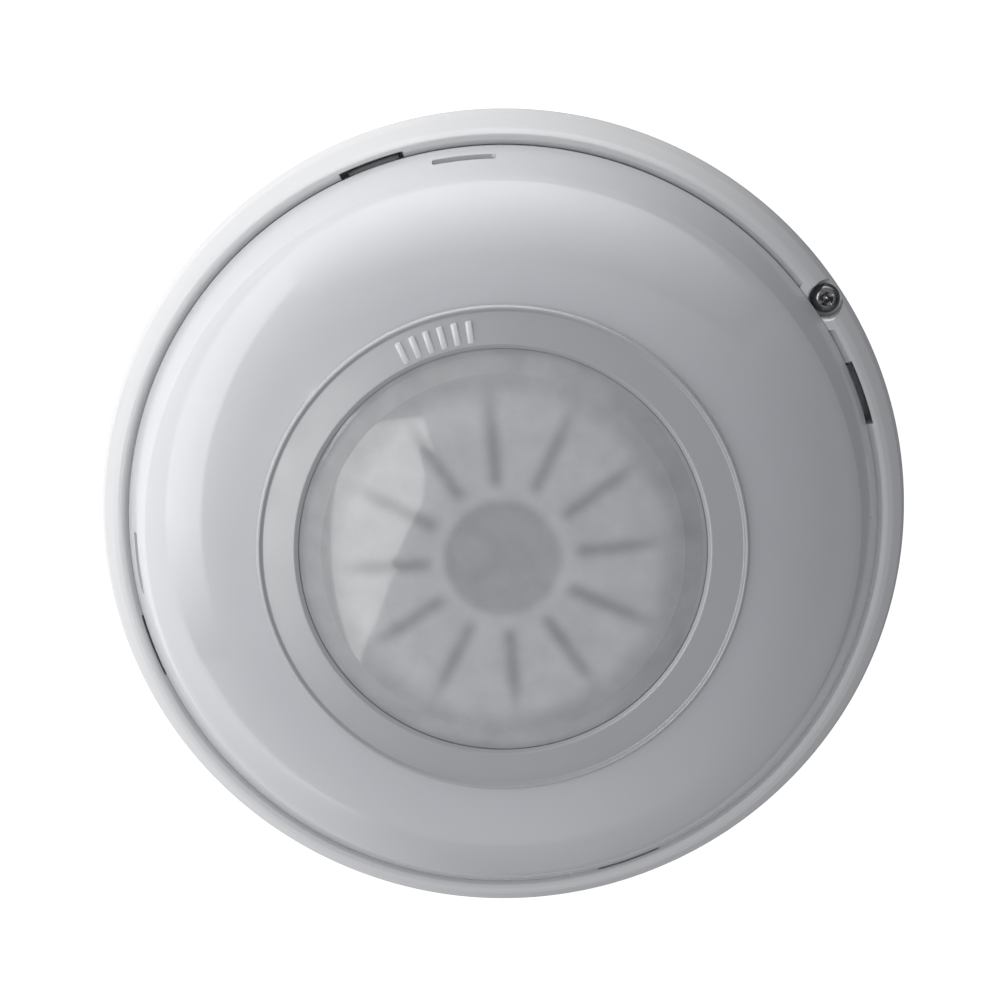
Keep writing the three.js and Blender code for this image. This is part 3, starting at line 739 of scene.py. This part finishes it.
def ribbon(points, width, height, closed=False):
    """Thin straps along a line of points on the board, with a round spot at each bend."""
    z0, z1 = BOARD_TOP - 0.02, BOARD_TOP + height
    parts = [rod(width / 2, z0, z1, point, segments=12) for point in points]
    following = points[1:] + points[:1] if closed else points[1:]
    for start, end in zip(points, following):
        along = Vector(end) - Vector(start)
        centre = (Vector(start) + Vector(end)) / 2
        turn = math.degrees(math.atan2(along.y, along.x))
        parts.append(block(along.length, width, z0, z1, centre, 0, turn))
    return parts


def dog_leg(start, end):
    """A route from start to end that runs along X, then at 45 degrees, then along X again."""
    dx, dy = end[0] - start[0], end[1] - start[1]
    slope = min(abs(dy), abs(dx) * 0.8)
    run = (abs(dx) - slope) / 2 * math.copysign(1, dx)
    across = slope * math.copysign(1, dx)
    return [start, (start[0] + run, start[1]), (start[0] + run + across, end[1]), end]


def board_tracks():
    parts = []
    leg_x, leg_y = middle("microcontroller")
    for i in range(8):
        y = leg_y + (i - 3.5) * CHIP_LEG_PITCH
        parts += ribbon(dog_leg((leg_x + 3.2, y), (-4.6 + 0.2 * i, 3.5 + i * 0.9)), 0.28, 0.03)
        parts += ribbon(dog_leg((leg_x - 3.2, y), (-31 + 0.3 * i, -4 + i * 1.1)), 0.28, 0.03)
    for i in range(6):
        x = (i - 2.5) * TERMINAL_PITCH
        end_x = x + 3 - i
        route = [(x, -23.6), (x, -19 + 0.6 * i), (end_x, -16 + 0.6 * i), (end_x, -8)]
        parts += ribbon(route, 0.55, 0.035)
    for i in range(5):
        y = -26 + i * 1.2
        parts += ribbon(dog_leg((14, y), (31, y + 9)), 0.5, 0.035)
    piece("board_tracks", gather(parts), TRACK_GREEN)


def surface_part(spot, turn, bodies, ends):
    """Adds a small surface-mounted part: a body to one list, and its tinned ends and solder to the other."""
    length = 2
    bodies.append(block(length * 0.66, length * 0.5, SEAT, SEAT + 0.55, spot, 0.05, turn))
    for side in (-1, 1):
        end = Vector(spot) + Vector(polar(side * length * 0.4, turn))
        ends.append(block(length * 0.22, length * 0.52, SEAT, SEAT + 0.58, end, 0.08, turn))
        solder = Vector(spot) + Vector(polar(side * length * 0.56, turn))
        ends.append(block(length * 0.3, length * 0.6, BOARD_TOP, SEAT + 0.12, solder, 0.05, turn))


def surface_parts():
    """Rows of resistors and ceramic capacitors."""
    resistors, ceramics, ends = [], [], []
    for i in range(4):
        surface_part((-21.5 + 2.6 * i, 26), 90, resistors, ends)
        surface_part((-6 + 2.6 * i, 26.5), 90, ceramics, ends)
        surface_part((-25, 5 + 2.4 * i), 0, resistors, ends)
        surface_part((-14 + 2.6 * i, -3.5), 90, ceramics, ends)
    for i in range(3):
        surface_part((9.5, 1 + 2.4 * i), 0, resistors, ends)
        surface_part((2.6 * i - 3, -13), 90, resistors, ends)
        surface_part((18 + 2.6 * i, 5), 90, ceramics, ends)
    piece("board_resistors", gather(resistors), CHIP_BLACK)
    piece("board_ceramic_capacitors", gather(ceramics), CERAMIC_TAN)
    piece("board_part_ends", gather(ends), TIN)


def outline_mark(spot, width, painted_shade_and_cloud, turn=0):
    """A printed rectangle round a part on the board."""
    w, d = width / 2, painted_shade_and_cloud / 2
    place = Matrix.Rotation(math.radians(turn), 2)
    corners = [Vector(spot) + place @ Vector(corner) for corner in ((-w, -d), (w, -d), (w, d), (-w, d))]
    return ribbon(corners, 0.18, 0.05, closed=True)


def board_markings():
    parts = []
    parts += outline_mark(middle("alarm_relay"), 16.4, 11.4)
    parts += outline_mark(middle("terminal_block"), 25.4, 9.4)
    parts += outline_mark(middle("dip_switch"), 7.6, 10.2)
    parts += outline_mark(middle("microcontroller"), 7.4, 12.4)
    parts += outline_mark(middle("amplifier_chip"), 11.2, 7.4)
    parts += outline_mark(middle("voltage_regulator"), 8, 12)
    parts += outline_mark(middle("tamper_switch"), 7.8, 7.8, turn=135)
    round_parts = {**CAPACITOR_RADII, "pyro_sensor_can": 5.4, "status_led": 1.9}
    for node, r in round_parts.items():
        parts.append(ring(r + 0.45, r + 0.65, middle(node), 0.05))
    piece("board_markings", gather(parts), MARKING_WHITE)


# ---- parts on the board ----
def sensor():
    foot, top = floor_and_top("sensor_spacer")
    spot = middle("sensor_spacer")
    bm = revolve(rounded([
        (0, foot), (5.4, foot, 0.15), (5.4, foot + 0.9, 0.2), (4.9, foot + 1.3, 0.3), (4.9, top, 0.2),
        (0, top),
    ]), 96, centre=spot)
    piece("sensor_spacer_block", bm, INNER_WHITE, "base", ["sensor_spacer"])

    foot, top = floor_and_top("pyro_sensor_can")
    can = revolve(rounded([
        (0, foot), (4.6, foot, 0.1), (4.6, foot + 0.45, 0.1), (4.1, foot + 0.55, 0.25), (4.1, top, 0.5),
        (0, top),
    ], steps=7), 128, centre=spot)
    tab = block(1, 0.9, foot, foot + 0.4, polar(4.75, 45), 0.08, 45)
    can = combine("UNION", can, tab)
    can = combine("DIFFERENCE", can, block(4.2, 3.2, top - 0.6, top + 1, spot, 0.25))
    piece("pyro_sensor_can_shell", can, NICKEL, "base", ["pyro_sensor_can"])

    foot, top = floor_and_top("pyro_sensor_window")
    window = block(4, 3, foot, top, spot, 0.12)
    piece("pyro_sensor_filter", window, FILTER_DARK, "base", ["pyro_sensor_window"])


def status_led():
    foot, top = floor_and_top("status_led")
    dome = arc((0, top - 1.5), 1.5, 0, 88, 12)
    flange = rounded([(0, foot), (1.9, foot, 0.1), (1.9, foot + 0.9, 0.15), (1.5, foot + 1, 0.1)])
    bm = revolve(flange + dome + [(0, top)], 64, centre=middle("status_led"))
    piece("status_led_bulb", bm, LED_RED, "base", ["status_led"])


def relay():
    foot, top = floor_and_top("alarm_relay")
    spot = middle("alarm_relay")
    skirt = block(15.2, 10.2, foot, top - 0.9, spot, 0.25)
    lid = block(14.6, 9.6, foot + 1, top, spot, 0.5)
    case = combine("UNION", skirt, lid)
    mark = rod(0.5, top - 0.15, top + 1, (spot[0] - 6.2, spot[1] - 3.6), segments=24)
    vent = block(2.4, 0.35, top - 0.3, top + 1, (spot[0] + 5, spot[1] + 3.6), 0.05)
    case = combine("DIFFERENCE", case, mark, vent)
    piece("alarm_relay_case", case, CASE_BLACK, "base", ["alarm_relay"])


def capacitor(node, radius):
    """A can in a shrunk sleeve, with a scored aluminium top and a pale stripe down its negative side."""
    foot, top = floor_and_top(node)
    spot = middle(node)
    sleeve = revolve(rounded([
        (0, foot), (radius, foot, 0.2), (radius, foot + 1.1, 0.2), (radius - 0.25, foot + 1.4, 0.2),
        (radius, foot + 1.7, 0.3), (radius, top - 0.15, 0.5), (radius - 0.55, top, 0.2),
        (radius - 0.6, top - 0.2), (0, top - 0.2),
    ]), 96, centre=spot)
    piece(f"{node}_sleeve", sleeve, SLEEVE_BLUE, "base", [node])
    cap = rod(radius - 0.6, top - 0.4, top - 0.08, spot, 0.08)
    scores = [block(2.4 * radius, 0.18, top - 0.2, top + 1, spot, 0, turn) for turn in (20, 80, 140)]
    piece(f"{node}_top", combine("DIFFERENCE", cap, *scores), TIN)
    stripe = sector(radius - 0.1, radius + 0.03, 180, 22, foot + 1.9, top - 0.5, 0)
    bmesh.ops.translate(stripe, vec=(*spot, 0), verts=stripe.verts)
    piece(f"{node}_stripe", stripe, MARKING_WHITE)


def chip(node, legs_per_side, turn=0):
    """A small outline chip: a moulded body that tapers from its parting line, and gull-wing legs."""
    foot, top = floor_and_top(node)
    spot = middle(node)
    length = legs_per_side * CHIP_LEG_PITCH + 0.2
    place = Matrix.Translation((*spot, 0)) @ Matrix.Rotation(math.radians(turn), 4, "Z")
    body = block(length, 3.9, foot + 0.15, top, edge=0.12)
    line = foot + 0.85
    for vertex in body.verts:
        shrink = 1 - 0.05 * abs(vertex.co.z - line)
        vertex.co.x *= shrink
        vertex.co.y *= shrink
    dimple = rod(0.4, top - 0.12, top + 1, (0.9 - length / 2, -1.2), segments=24)
    body = combine("DIFFERENCE", body, dimple)
    legs = []
    for i in range(legs_per_side):
        x = (i - (legs_per_side - 1) / 2) * CHIP_LEG_PITCH
        for side in (-1, 1):
            legs.append(gull_wing(x, side, foot))
    legs = gather(legs)
    for bm in (body, legs):
        bmesh.ops.transform(bm, matrix=place, verts=bm.verts)
    piece(f"{node}_body", body, CHIP_BLACK, "base", [node])
    piece(f"{node}_legs", legs, TIN)


def gull_wing(x, side, foot):
    """A bent leg in the YZ plane: out of the body, down, and flat on its solder pad."""
    path = [(1.8, 0.72), (2.15, 0.72), (2.4, 0.55), (2.5, 0.2), (2.65, 0.06), (3.1, 0.06)]
    half, thick = 0.2, 0.1
    bm = bmesh.new()
    rows = []
    for y, z in path:
        corners = [(-half, -thick / 2), (half, -thick / 2), (half, thick / 2), (-half, thick / 2)]
        rows.append([bm.verts.new((x + dx, side * y, foot + z + dz)) for dx, dz in corners])
    for a, b in zip(rows, rows[1:]):
        for k in range(4):
            bm.faces.new((a[k], a[(k + 1) % 4], b[(k + 1) % 4], b[k]))
    bm.faces.new(rows[0])
    bm.faces.new(rows[-1])
    bmesh.ops.recalc_face_normals(bm, faces=bm.faces)
    return bm


def voltage_regulator():
    """A moulded body with a soldered tab on one side and two legs that reach further on the other."""
    foot, top = floor_and_top("voltage_regulator")
    x, y = middle("voltage_regulator")
    y += 0.4
    body = block(6.5, 6.1, foot + 0.1, top, (x, y), 0.2)
    piece("voltage_regulator_body", body, CHIP_BLACK, "base", ["voltage_regulator"])
    metal_parts = [block(5.2, 1.8, foot, foot + 0.5, (x, y + 3.5), 0.08)]
    metal_parts += [block(0.8, 2.4, foot, foot + 0.5, (x + dx, y - 4), 0.08) for dx in (-2.3, 2.3)]
    metal_parts.append(block(6.2, 2.6, BOARD_TOP, foot + 0.03, (x, y + 3.6), 0.02))
    piece("voltage_regulator_tab", gather(metal_parts), TIN)


def tamper_switch():
    foot, top = floor_and_top("tamper_switch")
    spot = middle("tamper_switch")
    body = block(6.4, 6.4, foot, top - 0.8, spot, 0.25, 135)
    body = combine("UNION", body, rod(2.6, top - 1.2, top, spot, 0.2))
    body = combine("DIFFERENCE", body, rod(1.75, 11.5, top + 1, spot))
    piece("tamper_switch_body", body, CHIP_BLACK, "base", ["tamper_switch"])
    rivets = []
    for turn in (0, 90, 180, 270):
        x, y = polar(3.7, 135 + 45 + turn)
        rivets.append(rod(0.32, top - 1, top - 0.65, (spot[0] + x, spot[1] + y), 0.1, 24))
    piece("tamper_switch_rivets", gather(rivets), TIN)
    foot, top = floor_and_top("tamper_plunger")
    outline = rounded([(0, foot), (1.5, foot, 0.1), (1.5, top - 0.3, 0.5), (1.0, top, 0.5), (0, top)])
    button = revolve(outline, 48, centre=middle("tamper_plunger"))
    piece("tamper_plunger_button", button, INNER_WHITE, "tamper_plunger", ["tamper_plunger"])


def terminal_block():
    foot, top = floor_and_top("terminal_block")
    x0, y0 = middle("terminal_block")
    screws = [f"terminal_screw_{i}" for i in range(1, 7)]
    case = block(6 * TERMINAL_PITCH + 1.2, 8, foot, top, (x0, y0), 0.3)
    chambers = [block(3, 6, 9.7, 15, (middle(screw)[0], y0 - 1.6), 0.15) for screw in screws]
    wells = [rod(1.65, 14.9, top + 1, middle(screw)) for screw in screws]
    groove_x = [x0 + (i - 3) * TERMINAL_PITCH for i in range(7)]
    grooves = [block(0.35, 12, top - 0.35, top + 1, (x, y0), 0.1) for x in groove_x]
    case = combine("DIFFERENCE", case, gather(chambers), gather(wells + grooves))
    piece("terminal_block_case", case, TERMINAL_GREEN, "base", ["terminal_block"])
    for i, screw in enumerate(screws):
        terminal_screw(screw, 20 + 37 * i)
        terminal_clamp(f"terminal_clamp_{i + 1}")


def terminal_screw(node, slot_turn):
    foot, top = floor_and_top(node)
    spot = middle(node)
    bm = revolve(rounded([
        (0, foot), (0.8, foot, 0.15), (0.8, top - 2, 0.05), (1.45, top - 2, 0.1), (1.45, top, 0.3), (0, top),
    ]), 48, centre=spot)
    bm = combine("DIFFERENCE", bm, block(5, 0.5, top - 0.8, top + 1, spot, 0.05, slot_turn))
    piece(f"{node}_slotted", bm, ZINC, node, [node])


def terminal_clamp(node):
    foot, top = floor_and_top(node)
    spot = middle(node)
    cage = block(2.7, 4.2, foot, top, spot, 0.2)
    wire_opening = block(1.7, 6, foot + 0.5, top - 0.5, spot, 0.1)
    cage = combine("DIFFERENCE", cage, wire_opening, rod(0.95, top - 1, top + 1, spot))
    piece(f"{node}_cage", cage, BRASS, node, [node])


def dip_switch():
    foot, top = floor_and_top("dip_switch")
    x0, y0 = middle("dip_switch")
    case = block(6.2, 3 * SWITCH_PITCH + 1.2, foot, top, (x0, y0), 0.2)
    channels = [block(3.6, 1.5, top - 1, top + 1, (x0, middle(f"dip_slider_{i}")[1]), 0.1) for i in (1, 2, 3)]
    case = combine("DIFFERENCE", case, gather(channels))
    piece("dip_switch_case", case, SWITCH_BLUE, "base", ["dip_switch"])
    for i in (1, 2, 3):
        node = f"dip_slider_{i}"
        foot, top = floor_and_top(node)
        x, y = middle(node)
        knob = block(1.5, 1.2, foot, top, (x, y), 0.12)
        grip = block(0.25, 3, top - 0.2, top + 1, (x, y), 0.04)
        piece(f"{node}_knob", combine("DIFFERENCE", knob, grip), INNER_WHITE, node, [node])
    feet = [block(0.9, 1, BOARD_TOP, BOARD_TOP + 0.35, (x0 + side * 3.5, y0 + SWITCH_PITCH * k), 0.08)
            for side in (-1, 1) for k in (-1, 0, 1)]
    piece("dip_switch_feet", gather(feet), TIN)


# ---- studio ----
def stage_sheet(name, corners, material):
    """A flat sheet that isn't part of the object."""
    mesh = bpy.data.meshes.new(name)
    mesh.from_pydata(corners, [], [range(len(corners))])
    mesh.materials.append(material)
    sheet = bpy.data.objects.new(name, mesh)
    bpy.context.scene.collection.objects.link(sheet)
    return sheet


def emitter(name, corners, strength, lights=True, mirrored=True, fades=()):
    """A glowing card that the camera doesn't see. It may light things and show in reflections.

    A fade is (axis, start, end): the glow falls from full to nothing between two places along an axis.
    """
    material = bpy.data.materials.new(name)
    material.use_nodes = True
    tree = material.node_tree
    tree.nodes.clear()
    glow = add_node(tree, "ShaderNodeEmission", Color=(1, 0.99, 0.98, 1), Strength=strength)
    split = add_node(tree, "ShaderNodeSeparateXYZ")
    tree.links.new(add_node(tree, "ShaderNodeNewGeometry").outputs["Position"], split.inputs["Vector"])
    for axis, start, end in fades:
        product = add_node(tree, "ShaderNodeMath", operation="MULTIPLY")
        product.inputs[0].default_value = strength
        if glow.inputs["Strength"].is_linked:
            tree.links.new(glow.inputs["Strength"].links[0].from_socket, product.inputs[0])
        tree.links.new(ranged(tree, split.outputs[axis], start, end, 1, 0), product.inputs[1])
        tree.links.new(product.outputs["Value"], glow.inputs["Strength"])
    out = add_node(tree, "ShaderNodeOutputMaterial")
    tree.links.new(glow.outputs["Emission"], out.inputs["Surface"])
    card = stage_sheet(name, corners, material)
    card.visible_camera = False
    card.visible_diffuse = lights
    card.visible_glossy = mirrored


def bright_side(tree, vector, angle, low, high, dark, bright):
    """A value that rises from dark to bright in one direction, given as an angle round the Z axis."""
    towards = add_node(tree, "ShaderNodeVectorMath", operation="DOT_PRODUCT")
    tree.links.new(vector, towards.inputs[0])
    towards.inputs[1].default_value = (*polar(1, angle), 0)
    return ranged(tree, towards.outputs["Value"], low, high, dark, bright)


def floor():
    """A pale floor: almost white to the camera, clear from below, and it bounces more light on one side."""
    material = bpy.data.materials.new("pale_floor")
    material.use_nodes = True
    tree = material.node_tree
    tree.nodes.clear()
    paths = add_node(tree, "ShaderNodeLightPath")
    geometry = add_node(tree, "ShaderNodeNewGeometry")
    seen = add_node(tree, "ShaderNodeAddShader")
    matt = add_node(tree, "ShaderNodeBsdfDiffuse", Color=(0.85, 0.85, 0.86, 1))
    haze = add_node(tree, "ShaderNodeEmission", Strength=0.75)
    tree.links.new(matt.outputs["BSDF"], seen.inputs[0])
    tree.links.new(haze.outputs["Emission"], seen.inputs[1])
    unseen = add_node(tree, "ShaderNodeAddShader")
    dim = add_node(tree, "ShaderNodeBsdfDiffuse", Color=(0.3, 0.3, 0.3, 1))
    bounce = add_node(tree, "ShaderNodeEmission")
    glow = bright_side(tree, geometry.outputs["Position"], 160, -0.03, 0.13, 0, 2.0)
    tree.links.new(glow, bounce.inputs["Strength"])
    tree.links.new(dim.outputs["BSDF"], unseen.inputs[0])
    tree.links.new(bounce.outputs["Emission"], unseen.inputs[1])
    front = add_node(tree, "ShaderNodeMixShader")
    tree.links.new(paths.outputs["Is Camera Ray"], front.inputs["Fac"])
    tree.links.new(unseen.outputs["Shader"], front.inputs[1])
    tree.links.new(seen.outputs["Shader"], front.inputs[2])
    either = add_node(tree, "ShaderNodeMixShader")
    clear = add_node(tree, "ShaderNodeBsdfTransparent")
    tree.links.new(geometry.outputs["Backfacing"], either.inputs["Fac"])
    tree.links.new(front.outputs["Shader"], either.inputs[1])
    tree.links.new(clear.outputs["BSDF"], either.inputs[2])
    out = add_node(tree, "ShaderNodeOutputMaterial")
    tree.links.new(either.outputs["Shader"], out.inputs["Surface"])
    reach = 3
    corners = [(-reach, -reach, 0), (reach, -reach, 0), (reach, reach, 0), (-reach, reach, 0)]
    stage_sheet("pale_floor", corners, material)


def studio():
    """A pale world that is darker on one side, three softboxes to be mirrored, and three low lights."""
    world = bpy.data.worlds.new("studio")
    bpy.context.scene.world = world
    world.use_nodes = True
    tree = world.node_tree
    sky = tree.nodes["Background"]
    sky.inputs["Color"].default_value = (0.95, 0.97, 1, 1)
    direction = add_node(tree, "ShaderNodeTexCoord").outputs["Generated"]
    split = add_node(tree, "ShaderNodeSeparateXYZ")
    tree.links.new(direction, split.inputs["Vector"])
    above = add_node(tree, "ShaderNodeMix", A=0.85)
    tree.links.new(ranged(tree, split.outputs["Z"], -0.02, 0, 0, 1), above.inputs["Factor"])
    tree.links.new(bright_side(tree, direction, 168, -0.97, -0.4, 0.03, 0.66), above.inputs["B"])
    tree.links.new(above.outputs["Result"], sky.inputs["Strength"])
    near = 0.64
    corners = [(-0.2, 0.22, near), (-0.49, 0.25, near), (-0.5, -0.59, near), (-0.14, -0.03, near)]
    emitter("near_softbox", corners, 6, lights=False)
    corners = [(-0.95, -0.6, 0.0), (-0.95, 0.95, 0.0), (-0.9, 0.9, 0.31), (-0.9, -0.6, 0.31)]
    emitter("side_softbox", corners, 4, lights=False, fades=[("Y", -0.1, -0.55)])
    corners = [(-0.95, 0.95, 0.0), (1.5, 0.95, 0.0), (1.5, 0.9, 0.7), (-0.95, 0.9, 0.7)]
    emitter("top_softbox", corners, 3.6, lights=False, fades=[("Z", 0.0, 0.7), ("X", 0.0, 1.4)])
    for name, angle, half_width, strength in (
        ("side_light", 175, 0.8, 1.4), ("top_light", 100, 0.8, 14), ("bottom_light", 272, 0.6, 2.2),
    ):
        across = Vector(polar(half_width, angle + 90))
        back = Vector(polar(1.05, angle))
        left, right = back - across, back + across
        corners = [(*left, 0.0), (*right, 0.0), (*right, 0.25), (*left, 0.25)]
        emitter(name, corners, strength, mirrored=False)


def camera():
    """The camera looks at the front from slightly above the middle, from the side of +Y."""
    tilt = math.radians(10.7)
    distance = 0.45
    towards = Vector((0, math.sin(tilt), math.cos(tilt)))
    up = Vector((0, math.cos(tilt), -math.sin(tilt)))
    data = bpy.data.cameras.new("camera")
    data.sensor_width = 36
    data.lens = 107.8
    data.shift_x = -0.0026
    data.shift_y = 0.0094
    data.clip_start = 0.01
    obj = bpy.data.objects.new("camera", data)
    bpy.context.scene.collection.objects.link(obj)
    turn = Matrix((Vector((1, 0, 0)), up, towards)).transposed().to_4x4()
    obj.matrix_world = Matrix.Translation(towards * distance) @ turn
    bpy.context.scene.camera = obj


base_tray()
cable_grommet()
lock_screw()
for board_screw in BOARD_SCREWS:
    pan_head_screw(board_screw, "base", SCREW_STEEL, 2.3, 1.6, 1.15)
front_cover()
lens_bezel()
fresnel_lens()
lens_retainer()
circuit_board()
board_tracks()
board_markings()
surface_parts()
sensor()
status_led()
relay()
for capacitor_node, capacitor_radius in CAPACITOR_RADII.items():
    capacitor(capacitor_node, capacitor_radius)
chip("microcontroller", 8, turn=90)
chip("amplifier_chip", 7)
voltage_regulator()
tamper_switch()
terminal_block()
dip_switch()

floor()
studio()
camera()
bpy.context.scene.view_settings.view_transform = "Standard"
